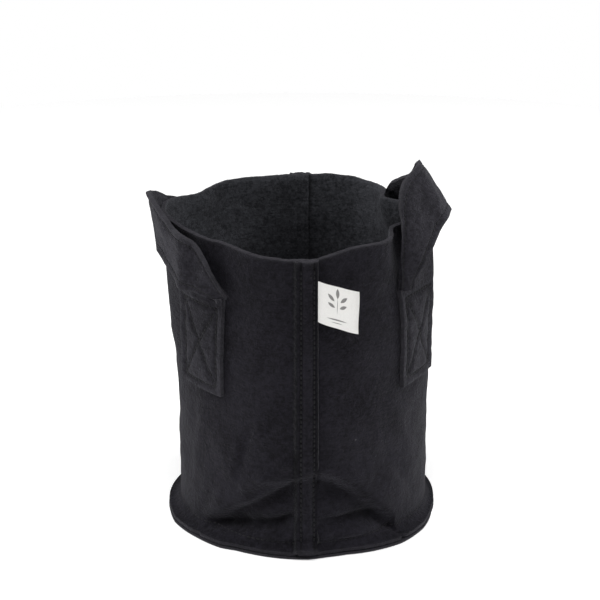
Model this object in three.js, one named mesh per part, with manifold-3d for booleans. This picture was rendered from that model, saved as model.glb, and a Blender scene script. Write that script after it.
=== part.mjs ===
// Fabric grow bag: a round pot of thick black felt, sewn from two wall panels and a base disc, with
// two felt strap handles and a folded cloth tag. Millimetres, +Z up. The origin is the centre of the
// underside, and the front seam, where the tag is, faces -Y.
//
// Everything that is sewn to the wall is first laid out flat, as the cloth is on the cutting table:
// x runs along the wall from the front seam to the right, -y points out of the bag and z is up, with
// the wall's outer face at y = 0. layOnWall then bends the flat piece round the bag and into its folds.

import * as THREE from 'three';
import { mergeVertices } from 'three/addons/utils/BufferGeometryUtils.js';
import Module from 'manifold-3d';

const wasm = await Module();
wasm.setup();

// ---- driving dimensions ----

const bodyDiameter = 200; // over the round wall
const rimHeight = 257; // from the floor to the rim at the back
const feltThickness = 3; // wall and base
const sewnGap = 0.4; // between two layers that are sewn together
const seamAllowance = 10; // the wall's foot, turned out and sewn down on the base's edge
const seamLap = 17; // overlap of the two wall panels at the front and rear seams
const lapPastMiddle = 1.5; // how far the upper panel of a seam reaches past the middle of the bag
const lapStitchInset = 2.5; // seam stitching, from each panel's raw edge
const threadWidth = 1.2;
const threadHeight = 0.6;

const strapWidth = 48;
const strapThickness = 3.6; // two thin layers sewn face to face
const strapEndHeight = 78; // the sewn-on part of each strap end
const strapEndBelowRim = 47; // its upper edge, below the rim
const strapEndAngle = 57; // degrees from the middle of the front or the back
const boxStitchInset = 6; // the sewn box, from the edges of the strap end
const strapStitchShare = 0.12; // edge stitching along the loop, as a share of its width
const leftHingeOut = 14; // the left handle folds over just outside the wall's lobe
const rightHingeOut = -3; // the right one over the wall itself

const tagWidth = 38;
const tagHeight = 33;
const tagThickness = 0.8;
const tagBelowRim = 24;
const tagLean = 42; // degrees that the tag stands off the wall

// Slack cloth near the rim. Each fold is a soft ridge (positive reach) or valley, which is deepest at
// the rim and dies out a length below it. Azimuth, from the middle of the front, and spread are in degrees.
const rimFolds = [
  { azimuth: -100, reach: 12, spread: 17, length: 147 }, // lobe inside the left handle
  { azimuth: 52, reach: -14, spread: 15, length: 127 }, // valley above the right front strap end
  { azimuth: 82, reach: 5, spread: 10, length: 127 }, // lobe inside the right handle
  { azimuth: 109, reach: -24, spread: 13, length: 97 }, // crease behind it
  { azimuth: 185, reach: -11, spread: 30, length: 137 }, // back, leaning in
  { azimuth: 0, reach: -3, spread: 20, length: 137 }, // front seam, leaning in
];
const frontSlouch = 9; // how far the rim sinks at the front seam
const slouchSpread = 40; // degrees

// ---- sizes that follow ----

const wallRadius = bodyDiameter / 2;
const footRadius = wallRadius + seamAllowance;
const layerStep = feltThickness + sewnGap; // from one felt layer to the one on top of it
const wallFoot = layerStep; // the wall's lower face, on top of the base
const halfTurn = Math.PI * wallRadius; // from the front seam to the rear seam, along the wall
const plainHeight = rimHeight - Math.max(...rimFolds.map((fold) => fold.length));
const strapEndTop = rimHeight - strapEndBelowRim;
const hingeHeight = strapEndTop + strapThickness; // where both handles fold over

const lowerEdge = lapPastMiddle - seamLap; // the raw edge of a seam's lower panel
const lapMiddle = lapPastMiddle - seamLap / 2;
const wallStep = 6; // length of one facet of a wall panel
const threadStep = 6; // length of one facet of a thread
const lapRamp = 2 * wallStep; // stretch over which the upper panel climbs onto the lower one

const felt = new THREE.MeshStandardMaterial({ color: 0x26252a, roughness: 0.95, metalness: 0 });
const thread = new THREE.MeshStandardMaterial({ color: 0x18181b, roughness: 0.7, metalness: 0 });
const tagCloth = new THREE.MeshStandardMaterial({ color: 0xe6e4df, roughness: 0.6, metalness: 0 });

const bag = new THREE.Group();

function addPiece(name, geometry, material) {
  const mesh = new THREE.Mesh(geometry, material);
  mesh.name = name;
  bag.add(mesh);
  return mesh;
}

// ---- bending flat pieces onto the bag ----

// How far the slack cloth stands out of the plain cylinder, at an azimuth from the front seam.
function foldReach(azimuth, height) {
  let reach = 0;
  for (const fold of rimFolds) {
    const share = THREE.MathUtils.smoothstep(height, rimHeight - fold.length, rimHeight);
    reach += fold.reach * share * bell(azimuth, fold.azimuth, fold.spread);
  }
  return reach;
}

// A bell curve round the bag: 1 at its centre, which is in degrees, as its spread is.
function bell(azimuth, centre, spread) {
  const away = azimuth - THREE.MathUtils.degToRad(centre);
  const shortest = Math.atan2(Math.sin(away), Math.cos(away));
  return Math.exp(-0.5 * (shortest / THREE.MathUtils.degToRad(spread)) ** 2);
}

function slouched(azimuth, height) {
  return height * (1 - (frontSlouch / rimHeight) * bell(azimuth, 0, slouchSpread));
}

function moveVertices(geometry, move) {
  const position = geometry.attributes.position;
  const point = new THREE.Vector3();
  for (let i = 0; i < position.count; i++) {
    move(point.fromBufferAttribute(position, i));
    position.setXYZ(i, point.x, point.y, point.z);
  }
  return geometry;
}

function layOnWall(geometry) {
  return moveVertices(geometry, (point) => {
    const azimuth = point.x / wallRadius;
    const radius = wallRadius - point.y + foldReach(azimuth, point.z);
    point.set(radius * Math.sin(azimuth), -radius * Math.cos(azimuth), slouched(azimuth, point.z));
  });
}

// Joins closed geometries into one solid.
function joined(geometries) {
  const solids = geometries.map((geometry) => {
    const bare = geometry.clone();
    bare.deleteAttribute('normal');
    bare.deleteAttribute('uv');
    const merged = mergeVertices(bare, 1e-4);
    const vertProperties = Float32Array.from(merged.attributes.position.array);
    const triVerts = new Uint32Array(merged.index.array);
    return new wasm.Manifold(new wasm.Mesh({ numProp: 3, vertProperties, triVerts }));
  });
  const mesh = solids.reduce((whole, solid) => whole.add(solid)).getMesh();
  const geometry = new THREE.BufferGeometry();
  geometry.setAttribute('position', new THREE.BufferAttribute(mesh.vertProperties, 3));
  geometry.setIndex(new THREE.BufferAttribute(mesh.triVerts, 1));
  geometry.computeVertexNormals();
  return geometry;
}

// ---- base ----

function baseDisc() {
  const geometry = new THREE.CylinderGeometry(footRadius, footRadius, feltThickness, 72);
  return geometry.rotateX(Math.PI / 2).translate(0, 0, feltThickness / 2);
}

// ---- wall panels ----

// 0 on a single layer, 1 where the upper panel lies on the lower one. distance is measured along the
// wall from the lower panel's raw edge, and is positive over the lap.
function lapLift(distance) {
  return THREE.MathUtils.smoothstep(distance, -wallStep - lapRamp, -wallStep);
}

// The section of a panel: the wall, and its foot turned out over the base.
function panelSection() {
  const rows = 16; // in the part that has folds
  const heights = [];
  for (let i = 0; i <= rows; i++) {
    heights.push(THREE.MathUtils.lerp(plainHeight, rimHeight, i / rows));
  }
  const footCorners = [
    new THREE.Vector2(feltThickness, wallFoot),
    new THREE.Vector2(-seamAllowance, wallFoot),
    new THREE.Vector2(-seamAllowance, wallFoot + feltThickness),
    new THREE.Vector2(0, wallFoot + feltThickness),
  ];
  const outside = heights.map((height) => new THREE.Vector2(0, height));
  const inside = heights.map((height) => new THREE.Vector2(feltThickness, height)).reverse();
  return new THREE.Shape([...footCorners, ...outside, ...inside].reverse());
}

// One half of the wall, from under the rear lap on its left to over the front lap on its right.
function wallPanel() {
  const length = halfTurn + seamLap;
  const steps = Math.round(length / wallStep);
  const geometry = new THREE.ExtrudeGeometry(panelSection(), { depth: length, steps, bevelEnabled: false });
  const acrossWall = new THREE.Vector3(0, 1, 0);
  const upWall = new THREE.Vector3(0, 0, 1);
  const alongWall = new THREE.Vector3(1, 0, 0);
  geometry.applyMatrix4(new THREE.Matrix4().makeBasis(acrossWall, upWall, alongWall));
  geometry.translate(lapPastMiddle - length, 0, 0);
  return moveVertices(geometry, (point) => {
    const lift = layerStep * lapLift(point.x - lowerEdge);
    point.y -= lift;
    point.z += lift * (1 - point.z / rimHeight);
  });
}

// ---- stitching on the wall ----

// A straight run of thread on the flat cloth, from one point to another, at a depth below the wall's
// outer face. Stacked layers have a negative depth.
function threadRun(from, to, depth) {
  const run = new THREE.Vector2().subVectors(to, from);
  const pieces = Math.round(run.length() / threadStep);
  const geometry = new THREE.BoxGeometry(threadWidth, threadHeight, run.length(), 1, 1, pieces);
  geometry.rotateY(Math.atan2(run.x, run.y));
  const middle = new THREE.Vector2().addVectors(from, to).multiplyScalar(0.5);
  return geometry.translate(middle.x, depth - sewnGap - threadHeight / 2, middle.y);
}

// A row down a lap seam, on top of both panels.
function seamThread(along) {
  const lowest = wallFoot + 3 * feltThickness;
  const highest = rimHeight - 2 * lapStitchInset;
  return threadRun(new THREE.Vector2(along, lowest), new THREE.Vector2(along, highest), -layerStep);
}

// The row that sews the wall's turned-out foot down on the base.
function baseThread() {
  const radius = wallRadius + seamAllowance * 0.6;
  const bare = wallFoot + feltThickness + sewnGap + threadHeight / 2;
  const geometry = new THREE.TorusGeometry(radius, threadHeight / 2, 4, 80);
  return moveVertices(geometry, (point) => {
    const fromFrontLap = Math.atan2(point.x, -point.y) - lapMiddle / wallRadius;
    const fromLap = Math.abs(Math.asin(Math.sin(fromFrontLap))) * wallRadius;
    point.z += bare + layerStep * lapLift(seamLap / 2 + wallStep - fromLap);
  });
}

// ---- strap ends, sewn to the wall ----

function strapEnd(along) {
  const geometry = new THREE.BoxGeometry(strapWidth, strapThickness, strapEndHeight, 10, 1, 9);
  const outward = -sewnGap - strapThickness / 2;
  return geometry.translate(along, outward, strapEndTop - strapEndHeight / 2);
}

// A sewn box with a cross in it, as one row of thread.
function boxStitch(along) {
  const half = strapWidth / 2 - boxStitchInset;
  const low = strapEndTop - strapEndHeight + boxStitchInset;
  const high = strapEndTop - boxStitchInset;
  const corners = [
    new THREE.Vector2(along - half, low),
    new THREE.Vector2(along + half, low),
    new THREE.Vector2(along + half, high),
    new THREE.Vector2(along - half, high),
  ];
  const depth = -sewnGap - strapThickness;
  const runs = corners.map((corner, i) => threadRun(corner, corners[(i + 1) % 4], depth));
  runs.push(threadRun(corners[0], corners[2], depth), threadRun(corners[1], corners[3], depth));
  return joined(runs.map(layOnWall));
}

// ---- handle loops ----

// Each loop is a strap that leaves the front strap end, stands over the rim and comes down to the rear
// one. It is the surface between its upper and its lower edge, which are listed from front to rear. A
// point is [share of the way from the middle of the side to the inner edge of a strap end, distance
// out of the plain wall, height above the strap ends].
const loopEdges = {
  left: {
    upper: [
      [-1.08, 7, 5], [-1.02, 9, 13], [-0.92, 10, 26], [-0.8, 12, 41], [-0.68, 14, 48],
      [-0.52, 16, 50], [-0.41, 18, 54], [-0.25, 20, 60], [-0.08, 21, 61], [0.12, 21, 58],
      [0.32, 20, 51], [0.49, 17, 45], [0.68, 14, 37], [0.88, 12, 25], [1.07, 10, 5],
    ],
    lower: [
      [-0.98, 9, 5], [-0.91, 11, 5], [-0.8, 13, 5], [-0.69, 14, 5], [-0.54, 14, 7],
      [-0.4, 14, 11], [-0.2, 15, 16], [0, 15, 18], [0.2, 16, 16], [0.4, 15, 10],
      [0.69, 15, 5], [0.95, 11, 5],
    ],
  },
  right: {
    upper: [
      [-1.05, 7, 5], [-1.03, 5, 18], [-1.02, 2, 34], [-0.99, -1, 55], [-0.96, -5, 70],
      [-0.82, -8, 83], [-0.5, -10, 89], [-0.2, -10, 88], [0.1, -9, 77], [0.34, -9, 60],
      [0.6, -8, 50], [0.8, -5, 41], [0.94, 1, 26], [1.0, 7, 5],
    ],
    lower: [
      [-0.97, 11, 6], [-0.94, 12, 13], [-0.88, 13, 21], [-0.79, 14, 31], [-0.66, 15, 40],
      [-0.5, 15, 47], [-0.25, 16, 48], [0, 16, 45], [0.2, 15, 39], [0.42, 14, 31],
      [0.65, 13, 20], [0.9, 11, 7],
    ],
  },
};

function loopEdge(points, sign) {
  const span = Math.PI / 2 - THREE.MathUtils.degToRad(strapEndAngle) + strapWidth / 2 / wallRadius;
  const placed = points.map(([share, out, up]) => {
    const radius = sign * (wallRadius + out);
    const angle = sign * share * span;
    return new THREE.Vector3(radius * Math.cos(angle), radius * Math.sin(angle), strapEndTop + up);
  });
  return new THREE.CatmullRomCurve3(placed);
}

// The part of a loop between two shares of its width, from its upper edge at 0 to its lower edge at 1,
// raised off the middle of the strap and of the given thickness.
function loopStrip({ upper, lower }, fromShare, toShare, raised, thickness, facetsAcross) {
  const geometry = new THREE.BoxGeometry(1, 1, 1, facetsAcross, 1, 32);
  const onStrap = (share, along) => upper.getPoint(along).lerp(lower.getPoint(along), share);
  const nudge = 1e-3;
  return moveVertices(geometry, (point) => {
    const along = THREE.MathUtils.clamp(point.z + 0.5, nudge, 1 - nudge);
    const share = THREE.MathUtils.lerp(fromShare, toShare, point.x + 0.5);
    const across = onStrap(1, along).sub(onStrap(0, along));
    const forward = onStrap(share, along + nudge).sub(onStrap(share, along - nudge));
    const outward = new THREE.Vector3().crossVectors(forward, across).normalize();
    point.copy(onStrap(share, along).addScaledVector(outward, raised + point.y * thickness));
  });
}

// ---- tag ----

// A folded cloth tag, caught in the edge of the front lap and standing off the wall like a flag. It is
// built about that edge, which it swings on.
function tag() {
  const lean = THREE.MathUtils.degToRad(tagLean);
  const curl = tagWidth / 12;
  const face = new THREE.QuadraticBezierCurve(
    new THREE.Vector2(0, 0), new THREE.Vector2(tagWidth / 2, -curl), new THREE.Vector2(tagWidth, 0),
  ).getPoints(8);
  const back = face.map((point) => new THREE.Vector2(point.x, point.y + tagThickness)).reverse();
  const outline = [...face, ...back];
  const slab = { depth: tagHeight, bevelEnabled: false };
  const geometry = new THREE.ExtrudeGeometry(new THREE.Shape(outline), slab);
  return geometry.rotateZ(-lean);
}

// ---- assembly ----

addPiece('base_disc', baseDisc(), felt);
addPiece('wall_panel_left', layOnWall(wallPanel()), felt);
addPiece('wall_panel_right', layOnWall(wallPanel().translate(halfTurn, 0, 0)), felt);

for (const [seam, along] of [['front', 0], ['rear', halfTurn]]) {
  const lowerRow = along + lowerEdge + lapStitchInset;
  const upperRow = along + lapPastMiddle - lapStitchInset;
  addPiece(`${seam}_seam_lower_edge_thread`, layOnWall(seamThread(lowerRow)), thread);
  addPiece(`${seam}_seam_upper_edge_thread`, layOnWall(seamThread(upperRow)), thread);
}
addPiece('base_seam_thread', baseThread(), thread);

for (const [side, sign] of [['left', -1], ['right', 1]]) {
  const forward = sign * THREE.MathUtils.degToRad(strapEndAngle) * wallRadius;
  const backward = sign * halfTurn - forward;
  for (const [end, along] of [['front', forward], ['rear', backward]]) {
    addPiece(`handle_${side}_${end}_end`, layOnWall(strapEnd(along)), felt);
    addPiece(`handle_${side}_${end}_box_stitch`, boxStitch(along), thread);
  }
}

// A positive turn of each handle about its hinge line folds it outward.
for (const [side, sign, hingeOut] of [['left', -1, leftHingeOut], ['right', 1, rightHingeOut]]) {
  const edges = {
    upper: loopEdge(loopEdges[side].upper, sign),
    lower: loopEdge(loopEdges[side].lower, sign),
  };
  const handle = new THREE.Group();
  handle.position.set(sign * (wallRadius + hingeOut), 0, hingeHeight);
  const addToHandle = (name, geometry, material) => {
    geometry.translate(-handle.position.x, 0, -handle.position.z);
    handle.add(addPiece(name, geometry, material));
  };
  const onFace = -sign * (strapThickness / 2 + sewnGap + threadHeight / 2);
  const half = threadWidth / strapWidth / 2;
  addToHandle(`handle_${side}_loop`, loopStrip(edges, 0, 1, 0, strapThickness, 4), felt);
  for (const [row, share] of [['upper', strapStitchShare], ['lower', 1 - strapStitchShare]]) {
    const strip = loopStrip(edges, share - half, share + half, onFace, threadHeight, 1);
    addToHandle(`handle_${side}_${row}_edge_thread`, strip, thread);
  }
  bag.add(handle);
}

const tagAtSeam = addPiece('tag', tag(), tagCloth);
const tagFoot = rimHeight - tagBelowRim - tagHeight;
tagAtSeam.position.set(lapPastMiddle + sewnGap, -wallRadius - layerStep / 2, tagFoot);

export default bag;
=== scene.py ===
import math

import bpy
from mathutils import Matrix, Vector, noise


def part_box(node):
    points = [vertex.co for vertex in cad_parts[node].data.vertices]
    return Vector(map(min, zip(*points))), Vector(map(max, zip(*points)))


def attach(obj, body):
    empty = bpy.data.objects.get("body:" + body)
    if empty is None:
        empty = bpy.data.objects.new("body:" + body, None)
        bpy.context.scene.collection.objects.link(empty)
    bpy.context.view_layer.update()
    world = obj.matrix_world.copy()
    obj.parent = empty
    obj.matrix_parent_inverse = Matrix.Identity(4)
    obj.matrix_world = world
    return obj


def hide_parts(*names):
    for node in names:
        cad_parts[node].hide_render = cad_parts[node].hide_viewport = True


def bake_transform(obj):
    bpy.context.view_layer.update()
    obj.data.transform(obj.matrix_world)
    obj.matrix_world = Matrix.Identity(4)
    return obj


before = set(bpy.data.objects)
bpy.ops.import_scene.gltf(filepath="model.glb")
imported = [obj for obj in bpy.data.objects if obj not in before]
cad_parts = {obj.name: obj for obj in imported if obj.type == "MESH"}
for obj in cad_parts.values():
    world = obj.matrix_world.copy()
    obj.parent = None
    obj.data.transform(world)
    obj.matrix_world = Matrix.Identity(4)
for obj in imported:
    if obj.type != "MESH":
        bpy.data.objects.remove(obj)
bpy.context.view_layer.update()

# ---- the wall --------------------------------------------------------------------------------------
# Two panels of 3 mm black needle-punched felt, each half a turn wide and lapped over the other at the
# front and the rear middle. The foot of each turns out as the allowance that the base is sewn to. The
# rim is left raw and slack. Sizes are in millimetres, and x runs along the wall from the front seam.
MM = 0.001
WALL_RADIUS = 100
RIM_HEIGHT = 257
FELT = 3
LAYER_STEP = 3.4
SEAM_LAP = 15
LAP_PAST_MIDDLE = 1.5
HALF_TURN = math.pi * WALL_RADIUS
LOWER_EDGE = LAP_PAST_MIDDLE - SEAM_LAP
SEAM_ROWS = (LOWER_EDGE + 2.5, LAP_PAST_MIDDLE - 2.5)
STITCH_PITCH = 4.2
LAP_STEP = 4
FOOT_TOP = 6.4
FOOT_BEND = 9.5
BASE_ROW_HEIGHT = 12.5

# azimuth, how far it stands out at the rim, spread in degrees, and how far down it reaches
RIM_FOLDS = [
    (-100, 12, 17, 147), (53, -14, 14, 75), (82, 5, 10, 127), (109, -24, 13, 97),
    (185, -11, 30, 137), (0, -3, 20, 137), (35, 7, 8, 60), (50, -4, 5, 45), (106, -5, 7, 60),
    (-128, -3, 6, 60), (-150, 2, 9, 90), (150, 3, 8, 70), (-44, -6, 9, 110),
]
# azimuth, how far the rim sinks there, and how widely on its left and on its right
RIM_DIPS = [(-3, 9, 38, 10), (185, 2.5, 50, 50), (139, 4, 12, 12), (-124, 4, 9, 9)]
# azimuth and height of the crease where the front sinks in over the foot
FRONT_CREASE = [
    (-72, 0), (-55, 19), (-40, 36.5), (-29, 47.5), (-19, 59), (-10, 69), (-3, 75), (1, 76),
    (8, 71), (16, 61), (27, 44.5), (38, 27.5), (48, 13), (56, 0),
]
# lesser folds of the wall: x and height of one end and of the other, reach and half width
SMALL_FOLDS = [
    (-8, 38, -30, 28, -6, 4.5), (-28, 27, -62, 20, -8, 7), (-60, 21, -98, 11, -7, 6),
    (-20, 46, -54, 27, 3, 6), (-12, 20, -60, 13, 3.5, 4.5), (3, 29, 52, 28, -5.5, 3.8),
    (6, 18, 64, 15, 3.2, 4.5), (8, 46, 40, 40, 1.6, 6), (12, 24, 18, 13, -2, 2.4),
    (-12, 82, -24, 82.5, 2.6, 5), (-24, 82.5, -58, 57, 4, 4.5), (-16, 70, -50, 50, -3, 5),
    (-14, 94, -13, 76, -3, 2.6), (1.8, 76, 2.4, 60, -1.5, 2),
    (-51.7, 110, -64, 66, -2.6, 4), (-12, 147, -57, 78, -1.1, 5), (-98, 120, -114, 43, 1.6, 8),
    (-8, 73, -40, 66, 1.6, 5), (6, 77, 44, 62, 1.8, 5), (70, 120, 96, 60, 1.4, 7),
    (60, 80, 100, 30, -1.5, 6), (-80, 60, -105, 20, -1.6, 5), (25, 150, 50, 95, -0.8, 6),
    (-30, 200, -45, 150, -0.8, 8), (20, 235, 42, 205, -1.0, 7), (-20, 245, -34, 215, 0.9, 6),
    (230, 60, 290, 40, -4, 5), (300, 62, 340, 45, -4.5, 5), (320, 25, 385, 30, -3, 5),
    (180, 120, 215, 50, 1.6, 9), (240, 190, 262, 110, -1.2, 8), (-180, 130, -205, 50, 1.6, 9),
    (-157, 185, -150, 140, 3.5, 20), (150, 190, 152, 120, 2.5, 18),
]
# azimuth and how far the raw edge of the foot stands out of the plain wall
FOOT_REACH = [
    (-180, 10), (-119, 10), (-85, 9.5), (-75, 10.5), (-57, 8), (-43, 7.5), (-36, 4.5), (-28, 4.5),
    (-14, 5.5), (-3, 6), (5, 3.5), (14, 3), (26, 6.5), (40, 9.8), (58, 9), (73, 6.5), (89, 7.5),
    (110, 10), (180, 10),
]


def ease(value, low, high):
    """0 below low, 1 above high and smooth between them."""
    share = min(max((value - low) / (high - low), 0), 1)
    return share * share * (3 - 2 * share)


def bell(azimuth, middle, spread):
    """1 at the middle, falling away round the bag on both sides."""
    away = (azimuth - middle + 180) % 360 - 180
    return math.exp(-0.5 * (away / spread) ** 2)


def read(stops, place):
    """The amount at a place, on straight lines between stops."""
    for (low, before), (high, after) in zip(stops, stops[1:]):
        if low <= place <= high:
            return before + (after - before) * (place - low) / (high - low)
    return 0


def off_line(x, z, x1, z1, x2, z2):
    """How far a place on the flat cloth is from a line, and its share of the way along it."""
    length = math.hypot(x2 - x1, z2 - z1)
    share = ((x - x1) * (x2 - x1) + (z - z1) * (z2 - z1)) / length ** 2
    inside = min(max(share, 0), 1)
    return math.hypot(x - x1 - inside * (x2 - x1), z - z1 - inside * (z2 - z1)), share


def low_folds(x, z):
    """How far the creases over the foot push the cloth out at a place."""
    azimuth = math.degrees(x / WALL_RADIUS)
    around = (azimuth + 180) % 360 - 180
    crease = read(FRONT_CREASE, around)
    stiff = 1 - 0.6 * bell(azimuth, -4.5, 4)
    out = 0
    if crease > 12:
        below = crease - z
        soft = 8 if around < 0 else 13
        dent = ease(below, -2, soft) * (1 - ease(below, soft + 2, crease - 8))
        out -= 9 * stiff * ease(crease, 12, 38) * dent
        out += 0.8 * ease(crease, 12, 40) * math.exp(-((below + 8) / 8) ** 2)
    flat_x = (x + HALF_TURN) % (2 * HALF_TURN) - HALF_TURN
    for x1, z1, x2, z2, reach, half in SMALL_FOLDS:
        for place in (flat_x, flat_x + 2 * HALF_TURN):
            if abs(place - (x1 + x2) / 2) < abs(x2 - x1) / 2 + 3 * half:
                away, share = off_line(place, z, x1, z1, x2, z2)
                taper = 1 - 0.5 * abs(2 * min(max(share, 0), 1) - 1)
                out += reach * stiff * ease(z, 9, 17) * taper * math.exp(-(away / half) ** 2)
    return out


def slack(x, z):
    """How far the cloth stands out of its plain round at a place."""
    azimuth = math.degrees(x / WALL_RADIUS)
    out = sum(reach * ease(z, RIM_HEIGHT - length, RIM_HEIGHT) * bell(azimuth, middle, spread)
              for middle, reach, spread, length in RIM_FOLDS)
    place = Vector((math.cos(x / WALL_RADIUS), math.sin(x / WALL_RADIUS), z / WALL_RADIUS))
    waves = 1.3 * noise.noise(place * 2.2) + 0.7 * noise.noise(place * 6 + Vector((7, 3, 1)))
    ripples = 0.25 * noise.noise(place * 18)
    return out + low_folds(x, z) + waves * ease(z, 12, 40) + ripples * ease(z, 12, 20)


def sag(azimuth):
    """How far the rim sinks at an azimuth."""
    total = 0
    for middle, drop, left, right in RIM_DIPS:
        on_left = (azimuth - middle + 180) % 360 < 180
        total += drop * bell(azimuth, middle, left if on_left else right)
    return total


def on_bag(x, out, z):
    """A place on the flat cloth, out of its face, bent round the bag. Metres."""
    turn = x / WALL_RADIUS
    radius = WALL_RADIUS + out + slack(x, z)
    azimuth = (math.degrees(turn) + 180) % 360 - 180
    height = z * (1 - sag(azimuth) / RIM_HEIGHT)
    return Vector((radius * math.sin(turn), -radius * math.cos(turn), height)) * MM


def clear_selection():
    if bpy.context.object and bpy.context.object.mode == "EDIT":
        bpy.ops.object.mode_set(mode="OBJECT")
    bpy.ops.object.select_all(action="DESELECT")


def cloth_grid(name, across, up, place):
    """A sheet of cloth with columns at across and rows at up, where place gives each corner's own place."""
    clear_selection()
    bpy.ops.mesh.primitive_grid_add(x_subdivisions=len(across) - 1, y_subdivisions=len(up) - 1, size=1)
    sheet = bpy.context.object
    sheet.name = sheet.data.name = name
    edge = sheet.data.attributes.new("raw_edge", "FLOAT", "POINT")
    # A weight of painted shade for each corner, which darkens the felt in deep folds and along seam and
    # stitch lines.
    painted_shade = sheet.data.attributes.new("painted_shade", "FLOAT", "POINT")
    for index, vertex in enumerate(sheet.data.vertices):
        column = round((vertex.co.x + 0.5) * (len(across) - 1))
        row = round((vertex.co.y + 0.5) * (len(up) - 1))
        vertex.co, edge.data[index].value, painted_shade.data[index].value = place(across[column], up[row])
    return sheet


def thicken(sheet, thickness, rounding, inner_face=0):
    """Gives a sheet its thickness and takes the sharpness off its cut edges."""
    clear_selection()
    sheet.select_set(True)
    bpy.context.view_layer.objects.active = sheet
    solid = sheet.modifiers.new("thickness", "SOLIDIFY")
    solid.thickness, solid.offset, solid.material_offset = thickness * MM, -1, inner_face
    bpy.ops.object.modifier_apply(modifier=solid.name)
    if rounding:
        soft = sheet.modifiers.new("cut edge", "BEVEL")
        soft.width, soft.segments, soft.angle_limit = rounding * MM, 2, math.radians(60)
        bpy.ops.object.modifier_apply(modifier=soft.name)
    bpy.ops.object.shade_smooth_by_angle(angle=math.radians(50))


def spaced(low, high, step):
    """Even steps from low to high, of about the size asked for."""
    count = max(1, round((high - low) / step))
    return [low + (high - low) * i / count for i in range(count + 1)]


class Wire:
    """A shader socket that Python's operators work on."""

    def __init__(self, tree, socket=None):
        self.tree, self.socket = tree, socket

    def node(self, kind, settings=(), inputs=(), output=0):
        made = self.tree.nodes.new("ShaderNode" + kind)
        for key, value in dict(settings).items():
            setattr(made, key, value)
        for key, value in dict(inputs).items():
            if isinstance(value, Wire):
                self.tree.links.new(value.socket, made.inputs[key])
            else:
                made.inputs[key].default_value = value
        return Wire(self.tree, made.outputs[output])

    def maths(self, operation, *values):
        return self.node("Math", {"operation": operation}, dict(enumerate(values)))

    def __add__(self, other):
        return self.maths("ADD", self, other)

    def __sub__(self, other):
        return self.maths("SUBTRACT", self, other)

    def __rsub__(self, other):
        return self.maths("SUBTRACT", other, self)

    def __mul__(self, other):
        return self.maths("MULTIPLY", self, other)

    def __truediv__(self, other):
        return self.maths("DIVIDE", self, other)

    __radd__, __rmul__ = __add__, __mul__

    def between(self, low, high):
        """0 below low, 1 above high and smooth between them."""
        return self.node("MapRange", {"interpolation_type": "SMOOTHSTEP"},
                         {"Value": self, "From Min": low, "From Max": high})

    def mix(self, dark, light):
        """A colour, from dark where this is 0 to light where it is 1."""
        return self.node("Mix", {"data_type": "RGBA"}, {0: self, 6: dark, 7: light}, 2)


def finish_shader(material, roughness, colour, height, bump, distance, **constants):
    """Joins a finish to its material: what varies goes to the shader by wire, and the rest is set on it."""
    shader = material.node_tree.nodes["Principled BSDF"]
    tree = material.node_tree
    for name, value in constants.items():
        shader.inputs[name.replace("_", " ")].default_value = value
    normal = colour.node("Bump", {}, {"Strength": bump, "Distance": distance, "Height": height})
    for name, value in (("Roughness", roughness), ("Base Color", colour), ("Normal", normal)):
        if isinstance(value, Wire):
            tree.links.new(value.socket, shader.inputs[name])
        else:
            shader.inputs[name].default_value = value


def felt_material(name, dark, light, raw):
    """Felt: matted fibres with a mottled nap, faint needling streaks, pale raw edges, some lint, and
    painted shade darkening it in deep folds and along seam and stitch lines.
    """
    made = bpy.data.materials.new(name)
    made.use_nodes = True
    wire = Wire(made.node_tree)
    place = wire.node("TexCoord", {}, {}, "Object")
    clouds = wire.node("TexNoise", {}, {"Vector": place, "Scale": 26, "Detail": 4})
    nap = wire.node("TexNoise", {}, {"Vector": place, "Scale": 250, "Detail": 6, "Roughness": 0.66})
    grains = wire.node("TexNoise", {}, {"Vector": place, "Scale": 640, "Detail": 5, "Roughness": 0.75})
    needled = wire.node("VectorMath", {"operation": "MULTIPLY"}, {0: place, 1: (70, 70, 620)})
    streaks = wire.node("TexNoise", {}, {"Vector": needled, "Scale": 1, "Detail": 4, "Roughness": 0.6})
    fibres = wire.node("TexNoise", {"noise_type": "RIDGED_MULTIFRACTAL", "normalize": True},
                       {"Vector": place, "Scale": 330, "Detail": 5, "Roughness": 0.55, "Distortion": 0.8})
    specks = wire.node("TexVoronoi", {}, {"Vector": place, "Scale": 120, "Randomness": 1})
    sparse = wire.node("TexNoise", {}, {"Vector": place, "Scale": 90, "Detail": 1})
    lint = (1 - specks.between(0.05, 0.11)) * sparse.between(0.62, 0.7)
    edge = wire.node("Attribute", {"attribute_name": "raw_edge"}, {}, "Fac")
    worn = edge * (nap * 0.7 + 0.5)
    mottle = clouds * 0.18 + nap * 0.38 + grains * 0.34 + streaks * 0.1
    colour = mottle.between(0.39, 0.61).mix((*dark, 1), (*light, 1))
    colour = (worn * 0.7).mix(colour, (*raw, 1))
    # Painted shade: a point attribute darkens the felt nearly to black in the deep creases over the foot,
    # along the seam's stitch rows, lap step and cut edge, and along the straps' box stitching.
    press_and_shade = wire.node("Attribute", {"attribute_name": "painted_shade"}, {}, "Fac")
    colour = (press_and_shade * 0.85).mix(colour, (0.001, 0.001, 0.0014, 1))
    colour = (lint * 0.5).mix(colour, (0.16, 0.16, 0.17, 1))
    height = nap * 0.5 + grains * 0.28 + fibres * 0.3 + streaks * 0.25 + lint * 0.2
    finish_shader(made, mottle * 0.1 + 0.86, colour, height, 1.0, 0.0018, Sheen_Weight=0.09,
                  Sheen_Roughness=0.45, Sheen_Tint=(0.86, 0.86, 0.95, 1), Specular_IOR_Level=0.12)
    return made


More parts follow.
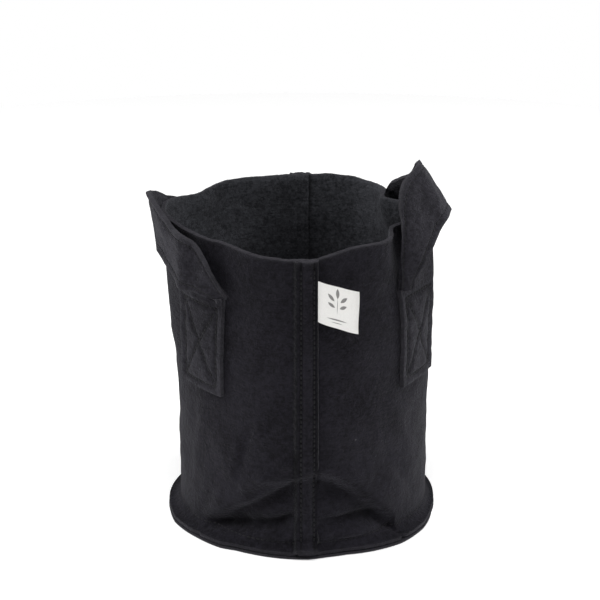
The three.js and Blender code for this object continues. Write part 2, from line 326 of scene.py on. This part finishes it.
wall_felt = felt_material("black_felt_wall", (0.0031, 0.0027, 0.0042), (0.014, 0.0129, 0.0181),
                          (0.034, 0.0325, 0.038))
# The inside is a lighter copy of the same felt: painted light, standing in for the light that reaches into
# the bag.
inner_felt_painted_light = felt_material("black_felt_inside_painted_light", (0.0145, 0.015, 0.0175), (0.056, 0.058, 0.066),
                           (0.05, 0.05, 0.056))


def panel_place(start):
    """Where the cloth of a panel lies. Its lapped-over edge is at start + LAP_PAST_MIDDLE."""

    def lie(along, share):
        x = start + along
        reach = read(FOOT_REACH, math.degrees(x / WALL_RADIUS + math.pi) % 360 - 180)
        bend = math.pi / 2 * math.sqrt((reach ** 2 + FOOT_BEND ** 2) / 2)
        length = bend + RIM_HEIGHT - FOOT_TOP - FOOT_BEND
        along_section = share * length
        wander = noise.noise(Vector((start, share * 30, 0)))
        scallop = 0.5 * math.sin(2 * math.pi * share * 36) + 0.6 * wander
        scallop *= ease(share, 0.06, 0.1)
        lift = LAYER_STEP * ease(along + scallop, LOWER_EDGE - LAP_STEP, LOWER_EDGE - 0.4)
        turn = min(along_section / bend, 1) * math.pi / 2
        out = reach * (1 - math.sin(turn))
        z = FOOT_TOP + FOOT_BEND * (1 - math.cos(turn)) + max(along_section - bend, 0)
        beat = math.cos(2 * math.pi * z / STITCH_PITCH)
        for row in SEAM_ROWS:
            for at in (row, row - HALF_TURN):
                press_and_shade = math.exp(-((along - at) / 1.5) ** 2)
                out -= press_and_shade * (1.1 + 0.45 * beat) * ease(z, 10, 14)
        out += 0.7 * math.exp(-((along - sum(SEAM_ROWS) / 2) / 3.5) ** 2) * ease(z, 12, 20)
        beat = math.cos(2 * math.pi * x / STITCH_PITCH)
        sunk = math.exp(-((z - BASE_ROW_HEIGHT) / 1.5) ** 2) * (0.9 + 0.5 * beat)
        bearing = Vector((math.cos(x / WALL_RADIUS), math.sin(x / WALL_RADIUS), 0))
        frayed = 0.35 * noise.noise(bearing * 40) + 0.8 * noise.noise(bearing * 7)
        top = ease(z, RIM_HEIGHT - 40, RIM_HEIGHT)
        lean = 0.9 * ease(z, RIM_HEIGHT - 4, RIM_HEIGHT)
        point = on_bag(x, out + lift - sunk + lean, z + lift * (1 - z / RIM_HEIGHT) + frayed * top)
        cut = 1 - ease(min(RIM_HEIGHT - z, along_section + 1), 0.2, 1.9)
        # The third value is painted shade: it darkens the felt along the two stitch rows, the lap step and
        # the lap's cut edge, and in the deep creases over the foot.
        lines = ((SEAM_ROWS[0], 1), (SEAM_ROWS[1], 1), (LOWER_EDGE - 2, 1.9), (LAP_PAST_MIDDLE, 1))
        press_and_shade = max(math.exp(-((along - line) / half) ** 2) for line, half in lines) * (1 - cut)
        return point, cut, max(press_and_shade, 0.75 * ease(-low_folds(x, z), 4, 13))

    return lie


back_edge = LAP_PAST_MIDDLE - HALF_TURN - SEAM_LAP
columns = (spaced(back_edge, back_edge + 22, 0.85)[:-1]
           + spaced(back_edge + 22, LAP_PAST_MIDDLE - 26, 2.0)[:-1]
           + spaced(LAP_PAST_MIDDLE - 26, LAP_PAST_MIDDLE, 0.8))
rows = spaced(0, 0.075, 0.0044)[:-1] + spaced(0.075, 1, 0.0074)
for side, start in (("left", 0), ("right", HALF_TURN)):
    wall = cloth_grid(f"wall_{side}", columns, rows, panel_place(start))
    wall.data.materials.append(wall_felt)
    wall.data.materials.append(inner_felt_painted_light)
    thicken(wall, FELT, 0.8, 1)
    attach(wall, "root")
    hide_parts(f"wall_panel_{side}")

# ---- the base --------------------------------------------------------------------------------------
# A round of the same felt, cut to the outline of the wall's turned-out foot and lying flat on the
# ground, with both raw edges left showing one above the other.
clear_selection()
bpy.ops.mesh.primitive_circle_add(vertices=120, radius=WALL_RADIUS * MM, fill_type="TRIFAN")
base = bpy.context.object
base.name = base.data.name = "base"
bpy.ops.object.mode_set(mode="EDIT")
bpy.ops.mesh.select_all(action="SELECT")
bpy.ops.mesh.subdivide(number_cuts=9)
bpy.ops.object.mode_set(mode="OBJECT")
edge = base.data.attributes.new("raw_edge", "FLOAT", "POINT")
for index, vertex in enumerate(base.data.vertices):
    share = math.hypot(vertex.co.x, vertex.co.y) / (WALL_RADIUS * MM)
    azimuth = math.degrees(math.atan2(vertex.co.x, -vertex.co.y))
    outline = (WALL_RADIUS + read(FOOT_REACH, azimuth) + 0.3) / WALL_RADIUS
    swell = 0.5 * noise.noise(vertex.co * 45) * ease(1 - share, 0.02, 0.15)
    vertex.co = Vector((vertex.co.x * outline, vertex.co.y * outline, (FELT - 0.2 + swell - 0.3) * MM))
    edge.data[index].value = ease(share, 0.975, 0.997)
thicken(base, FELT - 0.8, 0.7)
base.data.materials.append(wall_felt)
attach(base, "root")
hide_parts("base_disc")

# ---- seam stitching --------------------------------------------------------------------------------
# Lock stitches of bonded black thread: two rows down each lap and one row round the foot. One stitch
# is modelled, and a copy of it is set down for each stitch of a row.
STITCH = (3.3, 1.15, 0.85)
SEAM_FROM, SEAM_TO = 3, 60
thread = bpy.data.materials.new("black_thread")
thread.use_nodes = True
wire = Wire(thread.node_tree)
place = wire.node("TexCoord", {}, {}, "Object")
plies = wire.node("TexNoise", {}, {"Vector": place, "Scale": 1500, "Detail": 2})
finish_shader(thread, plies * 0.2 + 0.45, plies.mix((0.004, 0.004, 0.005, 1), (0.014, 0.0135, 0.016, 1)),
              plies, 0.5, 0.0003, Specular_IOR_Level=0.2)

clear_selection()
bpy.ops.mesh.primitive_uv_sphere_add(segments=8, ring_count=5, radius=0.5 * MM,
                                     rotation=(0, math.pi / 2, 0))
bpy.ops.object.transform_apply(location=False, rotation=True, scale=False)
bpy.ops.transform.resize(value=STITCH)
bpy.ops.object.transform_apply(location=False, rotation=False, scale=True)
bpy.ops.object.shade_smooth()
one_stitch = bpy.context.object
one_stitch.data.materials.append(thread)


def sew(name, path):
    """A row of stitches along a path of (place, direction out of the cloth)."""
    copies = []
    for (here, out), (after, _) in zip(path, path[1:]):
        forward = (after - here).normalized()
        side = out.cross(forward).normalized()
        turned = Matrix((forward, side, forward.cross(side))).transposed().to_4x4()
        copy = bpy.data.objects.new(name, one_stitch.data.copy())
        copy.data.transform(Matrix.Translation((here + after) / 2) @ turned)
        bpy.context.collection.objects.link(copy)
        copies.append(copy)
    clear_selection()
    for copy in copies:
        copy.select_set(True)
    bpy.context.view_layer.objects.active = copies[0]
    bpy.ops.object.join()
    row = bpy.context.object
    row.name = row.data.name = name
    return row


def outward(x):
    """The direction out of the wall at a place along it."""
    return Vector((math.sin(x / WALL_RADIUS), -math.cos(x / WALL_RADIUS), 0))


for seam, start in (("front", 0), ("rear", HALF_TURN)):
    for edge_name, row in zip(("lower", "upper"), SEAM_ROWS):
        heights = [STITCH_PITCH * (i + 0.5) for i in range(SEAM_FROM, SEAM_TO)]
        path = [(on_bag(start + row, LAYER_STEP - 0.45, z), outward(start + row)) for z in heights]
        stitches = sew(f"{seam}_seam_{edge_name}_stitches", path)
        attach(stitches, "root")
        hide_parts(f"{seam}_seam_{edge_name}_edge_thread")

base_row = []
turns = round(2 * HALF_TURN / STITCH_PITCH)
for i in range(turns + 1):
    x = (i + 0.5) * 2 * HALF_TURN / turns - HALF_TURN
    reach = read(FOOT_REACH, math.degrees(x / WALL_RADIUS + math.pi) % 360 - 180)
    turn = math.acos(1 - (BASE_ROW_HEIGHT - FOOT_TOP) / FOOT_BEND)
    lap = max(ease(x + shift, LOWER_EDGE - LAP_STEP, LOWER_EDGE + 0.4)
              - ease(x + shift, LAP_PAST_MIDDLE, LAP_PAST_MIDDLE + 1)
              for shift in (0, HALF_TURN, -HALF_TURN))
    out = reach * (1 - math.sin(turn)) + LAYER_STEP * lap - 0.8
    base_row.append((on_bag(x, out, BASE_ROW_HEIGHT),
                     (outward(x) + Vector((0, 0, 0.6))).normalized()))
base_stitches = sew("base_seam_stitches", base_row)
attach(base_stitches, "root")
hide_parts("base_seam_thread")

# ---- the strap handles -----------------------------------------------------------------------------
# One strap each side, of two layers of thinner felt sewn face to face. Its ends lie flat on the wall
# under a boxed cross of stitching, and the free middle stands over the rim.
STRAP_WIDTH = 48
STRAP = 3.6
STRAP_END_TOP = 210
STRAP_END_LOW = 132
STRAP_END_ANGLE = 57
BOX_INSET = 6
STRAP_END_RISE = 14
SIDE_SPAN = 90 - STRAP_END_ANGLE + math.degrees(STRAP_WIDTH / 2 / WALL_RADIUS)
# share of the way from the middle of the side to an end, distance out of the plain wall, and height
# over the sewn ends, from the front to the rear, along the upper edge and along the lower one
LOOP_EDGES = {
    "left": (
        [(-1.08, 5, 3), (-1.02, 8, 12), (-0.92, 10, 26), (-0.8, 12, 41), (-0.68, 14, 48), (-0.52, 16, 50),
         (-0.41, 18, 55), (-0.25, 20, 61.5), (-0.08, 21, 63.5), (0.12, 21, 60.5), (0.32, 20, 53),
         (0.49, 17, 45), (0.68, 14, 37), (0.88, 11, 25), (1.07, 8, 5)],
        [(-1.0, 8, 3), (-0.93, 11, 4), (-0.81, 13, 5), (-0.69, 14, 5), (-0.54, 14, 7), (-0.4, 13.5, 11),
         (-0.2, 13, 16), (0, 13, 18), (0.2, 13.5, 16), (0.4, 14, 10), (0.69, 14, 5), (0.95, 10, 5)],
    ),
    "right": (
        [(-1.05, 4, 4), (-1.03, 3, 18), (-1.02, 1, 34), (-0.99, -1, 55), (-0.96, -5, 70), (-0.82, -8, 83),
         (-0.5, -10, 89), (-0.2, -10, 88), (0.1, -9, 78), (0.34, -9, 63), (0.6, -8, 54), (0.8, -5, 44),
         (0.94, 1, 26), (1.0, 6, 5)],
        [(-0.97, 8, 5), (-0.95, 10, 12), (-0.88, 12, 21), (-0.79, 14, 31), (-0.66, 14.5, 40),
         (-0.5, 14.5, 47), (-0.25, 15.5, 48), (0, 15.5, 45), (0.2, 14.5, 39), (0.42, 13, 31),
         (0.65, 12, 20), (0.9, 10, 7)],
    ),
}
# where the two rows of stitches run, as shares of the strap's width
EDGE_ROWS = (0.12, 0.88)
# how far the middle of the strap stands out of the flat between its edges
CROWN = {"left": -1.5, "right": 1.2}
# folds across the loop: share of the way along it, height and spread
RIDGES = {"left": [(0.3, 2.6, 0.045), (0.2, -1.4, 0.05), (0.42, -1.2, 0.06), (0.62, 1.5, 0.06)],
          "right": [(0.47, 1.6, 0.03), (0.39, -1.2, 0.035), (0.6, -1.2, 0.05), (0.2, 1.0, 0.05)]}
strap_felt = felt_material("black_felt_strap", (0.0066, 0.0062, 0.0082), (0.0268, 0.0252, 0.032),
                           (0.035, 0.034, 0.039))


def edge_line(stations, sign):
    """A smooth line through an edge's stations, read at a share of its length. Metres."""
    points = []
    for share, out, up in stations:
        azimuth = sign * math.radians(90 + share * SIDE_SPAN)
        radius = WALL_RADIUS + out
        spot = (radius * math.sin(azimuth), -radius * math.cos(azimuth), STRAP_END_TOP + up)
        points.append(Vector(spot) * MM)
    points = [2 * points[0] - points[1]] + points + [2 * points[-1] - points[-2]]

    def at(share):
        steps = min(max(share, 0), 1) * (len(points) - 3)
        first = min(int(steps), len(points) - 4)
        t = steps - first
        a, b, c, d = points[first:first + 4]
        return 0.5 * (2 * b + (c - a) * t + (2 * a - 5 * b + 4 * c - d) * t ** 2
                      + (3 * b - a - 3 * c + d) * t ** 3)

    return at


def box_lines(middle):
    """The six stitched lines of a boxed cross: its four sides and its two diagonals."""
    half, low, high = STRAP_WIDTH / 2 - BOX_INSET, STRAP_END_LOW + BOX_INSET, STRAP_END_TOP - BOX_INSET
    corners = [(middle - half, low), (middle + half, low), (middle + half, high), (middle - half, high)]
    sides = [(*corners[i], *corners[(i + 1) % 4]) for i in range(4)]
    return sides + [(*corners[0], *corners[2]), (*corners[1], *corners[3])]


for side, sign in (("left", -1), ("right", 1)):
    upper, lower = (edge_line(stations, sign) for stations in LOOP_EDGES[side])

    def on_loop(along, across, out=0.0):
        """A place on the loop, from its front end to its rear and from its upper edge to its lower."""
        here = upper(along).lerp(lower(along), across)
        step = 0.004
        forward = (upper(along + step).lerp(lower(along + step), across)
                   - upper(along - step).lerp(lower(along - step), across))
        face = (forward.cross(lower(along) - upper(along)) * -sign).normalized()
        crown = CROWN[side] * math.sin(math.pi * across)
        soft = here / MM
        ruffle = 1.6 * noise.noise(soft / 21) + 0.6 * noise.noise(soft / 8)
        for at, height, spread in RIDGES[side]:
            ruffle += height * math.exp(-((along - at) / spread) ** 2)
        return here + face * (crown + ruffle + out) * MM, face

    def loop_place(along, across):
        groove = sum(math.exp(-((across - row) * STRAP_WIDTH / 1.6) ** 2) for row in EDGE_ROWS)
        point, _ = on_loop(along, across, STRAP / 2 - 0.8 * groove)
        return point, 1 - ease(min(across, 1 - across) * STRAP_WIDTH, 0.3, 2.4), 0

    loop = cloth_grid(f"{side}_strap_loop", spaced(0, 1, 0.008), spaced(0, 1, 0.03), loop_place)
    if sign > 0:
        loop.data.flip_normals()
    thicken(loop, STRAP, 0.9)
    pieces = [loop]
    lower_table = [lower(i / 200) for i in range(201)]
    for end in ("front", "rear"):
        middle = sign * math.radians(STRAP_END_ANGLE) * WALL_RADIUS
        if end == "rear":
            middle = sign * HALF_TURN - middle
        lines = box_lines(middle)

        def end_place(across, up):
            x = middle + (across - 0.5) * STRAP_WIDTH
            z = min(STRAP_END_LOW + up, STRAP_END_TOP)
            away = min(off_line(x, z, *line)[0] for line in lines)
            groove = 1.1 * math.exp(-(away / 1.7) ** 2)
            edge_away = min(across, 1 - across) * STRAP_WIDTH
            curl = 0.8 * (1 - ease(edge_away, 0, 5)) + 0.5 * noise.noise(Vector((x, z, 3)) / 9)
            point = on_bag(x, 0.5 + STRAP - groove + curl, z)
            rise = (STRAP_END_LOW + up - STRAP_END_TOP) / STRAP_END_RISE
            if rise > 0:
                turn = x / WALL_RADIUS
                target = min(lower_table, key=lambda p: abs(math.atan2(p.x, -p.y) - turn))
                goal = target - outward(x) * 1.6 * MM + Vector((0, 0, 1)) * MM
                reach = (goal - point).length
                first = point + Vector((0, 0, reach * 0.45))
                second = goal - outward(x) * reach * 0.25 - Vector((0, 0, reach * 0.25))
                keep = 1 - rise
                point = (point * keep ** 3 + first * 3 * keep ** 2 * rise
                         + second * 3 * keep * rise ** 2 + goal * rise ** 3)
            to_edge = min(edge_away, up + 0.1)
            # The third value is painted shade along the box stitching.
            return point, 0.6 - 0.6 * ease(to_edge, 0.3, 2), 0.6 * math.exp(-(away / 1.6) ** 2)

        height = STRAP_END_TOP - STRAP_END_LOW
        levels = spaced(0, height, 1.5)[:-1] + spaced(height, height + STRAP_END_RISE, 1.4)
        flap = cloth_grid(f"{side}_strap_{end}_end", spaced(0, 1, 0.03), levels, end_place)
        thicken(flap, STRAP, 0.9)
        pieces.append(flap)

        rows = []
        for x1, z1, x2, z2 in lines:
            count = round(math.hypot(x2 - x1, z2 - z1) / STITCH_PITCH)
            path = []
            for i in range(count + 1):
                x, z = x1 + (x2 - x1) * i / count, z1 + (z2 - z1) * i / count
                path.append((on_bag(x, STRAP - 0.35, z), outward(x)))
            rows.append(sew(f"{side}_{end}_box", path))
        clear_selection()
        for row in rows:
            row.select_set(True)
        bpy.context.view_layer.objects.active = rows[0]
        bpy.ops.object.join()
        rows[0].name = rows[0].data.name = f"{side}_{end}_box_stitches"
        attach(rows[0], "root")
        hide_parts(f"handle_{side}_{end}_box_stitch")

    clear_selection()
    for piece in pieces:
        piece.select_set(True)
    bpy.context.view_layer.objects.active = loop
    bpy.ops.object.join()
    strap = loop
    strap.name = strap.data.name = f"{side}_strap"
    strap.data.materials.append(strap_felt)
    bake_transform(strap)
    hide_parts(f"handle_{side}_loop", f"handle_{side}_front_end", f"handle_{side}_rear_end")
    for row_name, across in zip(("upper", "lower"), EDGE_ROWS):
        length = sum((on_loop(i / 40, across)[0] - on_loop((i + 1) / 40, across)[0]).length
                     for i in range(40))
        count = round(length / (STITCH_PITCH * MM))
        path = [on_loop(i / count, across, STRAP / 2 - 0.5) for i in range(1, count)]
        row = sew(f"{side}_{row_name}_edge_stitches", path)
        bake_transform(row)
        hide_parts(f"handle_{side}_{row_name}_edge_thread")

# ---- the tag ---------------------------------------------------------------------------------------
# A white satin ribbon, folded in two and caught in the edge of the front lap, with a small sprig
# printed on its face. It stands off the wall like a flag.
TAG_WIDTH, TAG_HEIGHT = 38, 33
TAG_LEAN = 42  # degrees from the wall's face
RIBBON = 0.22
tag_low, tag_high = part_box("tag")
hinge = Vector((LAP_PAST_MIDDLE + 0.4, -WALL_RADIUS - LAYER_STEP / 2, 0)) * MM
lean = math.radians(TAG_LEAN)
ribbon_along = Vector((math.cos(lean), -math.sin(lean), 0))
ribbon_out = Vector((-math.sin(lean), -math.cos(lean), 0))


def ribbon_place(along, up):
    """Along the ribbon, 0 to 1 on the front face and 1 to 2 back again behind it."""
    front = along <= 1
    reach = along if front else 2 - along
    curl = TAG_WIDTH / 24 * 4 * reach * (1 - reach)
    depth = 0.34 * min(1, (1 - reach) * 14) ** 0.5 * (1 if front else -1)
    sway = 0.7 * math.sin(up * 5 + 0.6) * reach + 0.35 * math.sin(reach * 9)
    point = hinge + (ribbon_along * (reach * TAG_WIDTH) + ribbon_out * (curl + depth + sway)) * MM
    point.z = tag_low.z + up * (tag_high.z - tag_low.z) - 0.8 * reach * MM * (1 - up)
    return point, 0, 0


tag_columns = spaced(0, 0.9, 0.045)[:-1] + spaced(0.9, 1.1, 0.01)[:-1] + spaced(1.1, 2, 0.045)
tag = cloth_grid("satin_tag", tag_columns, spaced(0, 1, 0.04), ribbon_place)
thicken(tag, RIBBON, 0)

satin = bpy.data.materials.new("white_satin")
satin.use_nodes = True
wire = Wire(satin.node_tree)
place = wire.node("TexCoord", {}, {}, "Object")
flat = wire.node("VectorRotate", {"rotation_type": "Z_AXIS"},
                 {"Vector": place, "Center": hinge, "Angle": lean})
right = (flat.node("SeparateXYZ", {}, {"Vector": flat}) - hinge.x) / MM
up = flat.node("SeparateXYZ", {}, {"Vector": flat}, "Z") / MM - (tag_low.z / MM)


def leaf(x, y, angle, length, width):
    """1 inside a leaf whose middle is at (x, y) on the tag and that points at the angle."""
    turn = math.radians(angle)
    along = (right - x) * math.cos(turn) + (up - y) * math.sin(turn)
    aside = (up - y) * math.cos(turn) - (right - x) * math.sin(turn)
    half = (1 - (along / length) * (along / length)) * width
    return (half - aside.maths("ABSOLUTE", aside)).between(0, 0.35)


# the leaves, stem and ground lines of the sprig: middle, angle, half length and half width
LEAVES = [(19, 27.5, 90, 4.4, 1.7), (13.2, 23.5, 140, 4.2, 1.6), (24.8, 23.5, 40, 4.2, 1.6),
          (13.6, 17.5, 155, 3.8, 1.5), (24.4, 17.5, 25, 3.8, 1.5), (19, 17.5, 90, 8.5, 0.45),
          (19, 6.5, 0, 11, 0.8), (19, 3.9, 0, 7, 0.5)]
print_mask = leaf(*LEAVES[0])
for shape in LEAVES[1:]:
    print_mask = print_mask.maths("MAXIMUM", print_mask, leaf(*shape))
facing = wire.node("TexCoord", {}, {}, "Normal")
turned_away = wire.node("SeparateXYZ", {}, {"Vector": facing}, "Y").between(-0.3, 0.1)
weave = wire.node("TexWave", {"bands_direction": "Z"}, {"Vector": place, "Scale": 900, "Distortion": 0.4})
ribs = wire.node("TexNoise", {}, {"Vector": place, "Scale": 700, "Detail": 3})
cloth = (weave * 0.5 + ribs * 0.5).between(0.2, 0.8).mix((0.68, 0.67, 0.65, 1), (0.80, 0.79, 0.77, 1))
printed = print_mask * (1 - turned_away) * (ribs * 0.3 + 0.7)
inked = printed.mix(cloth, (0.075, 0.07, 0.068, 1))
finish_shader(satin, ribs * 0.2 + 0.36, inked, weave * 0.6 + ribs * 0.4, 0.25, 0.0002,
              Sheen_Weight=0.1)
tag.data.materials.append(satin)
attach(tag, "tag")
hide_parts("tag")

# ---- floor, light and camera -----------------------------------------------------------------------
# A pale round of floor that runs out into a white surround, with soft lamps at both sides, in front
# and overhead.
clear_selection()
bpy.ops.mesh.primitive_circle_add(vertices=96, radius=1.15, fill_type="NGON")
floor = bpy.context.object
floor.name = "floor"
pale = bpy.data.materials.new("pale_floor")
pale.use_nodes = True
shader = pale.node_tree.nodes["Principled BSDF"]
shader.inputs["Base Color"].default_value = (0.9, 0.9, 0.9, 1)
shader.inputs["Roughness"].default_value = 0.9
shader.inputs["Emission Color"].default_value = (1, 1, 1, 1)
shader.inputs["Emission Strength"].default_value = 0.4
floor.data.materials.append(pale)

world = bpy.data.worlds.new("studio")
bpy.context.scene.world = world
world.use_nodes = True
studio = Wire(world.node_tree)
seen = studio.node("LightPath", {}, {}, "Is Camera Ray")
brightness = seen * 0.76 + 0.24
world.node_tree.nodes["Background"].inputs["Color"].default_value = (1, 1, 1, 1)
world.node_tree.links.new(brightness.socket, world.node_tree.nodes["Background"].inputs["Strength"])

middle = Vector((0, 0, 0.13))
LIGHTS = [("left_light", (-1.3, 0.0, 1.1), 0.6, 13), ("right_light", (1.3, -0.1, 1.1), 0.6, 10.5),
          ("front_light", (0.0, -0.8, 1.65), 0.5, 10), ("top_light", (0.0, -0.1, 1.6), 0.8, 5)]
for name, spot, size, watts in LIGHTS:
    clear_selection()
    bpy.ops.object.light_add(type="AREA", location=spot)
    light = bpy.context.object
    light.name = name
    light.data.size, light.data.energy = size, watts
    light.rotation_euler = (middle - Vector(spot)).to_track_quat("-Z", "Y").to_euler()

# The camera looks down a little on the front of the bag, from just left of its seam.
# It is aimed a little past the middle of the bag, by these shares of its distance.
elevation, azimuth, distance = math.radians(22.5), math.radians(-5.5), 2.2
AIM_LEFT, AIM_UP = 3 / 2730, 56 / 2730
away = Vector((math.sin(azimuth) * math.cos(elevation), -math.cos(azimuth) * math.cos(elevation),
               math.sin(elevation)))
bpy.ops.object.camera_add(location=middle + away * distance)
camera = bpy.context.object
camera.data.lens = 163.8
side_way = (-away).cross(Vector((0, 0, 1))).normalized()
up_way = side_way.cross(-away)
look = -away - side_way * AIM_LEFT + up_way * AIM_UP
camera.rotation_euler = look.to_track_quat("-Z", "Y").to_euler()
bpy.context.scene.camera = camera
bpy.context.scene.view_settings.view_transform = "Standard"

bpy.data.objects.remove(one_stitch)
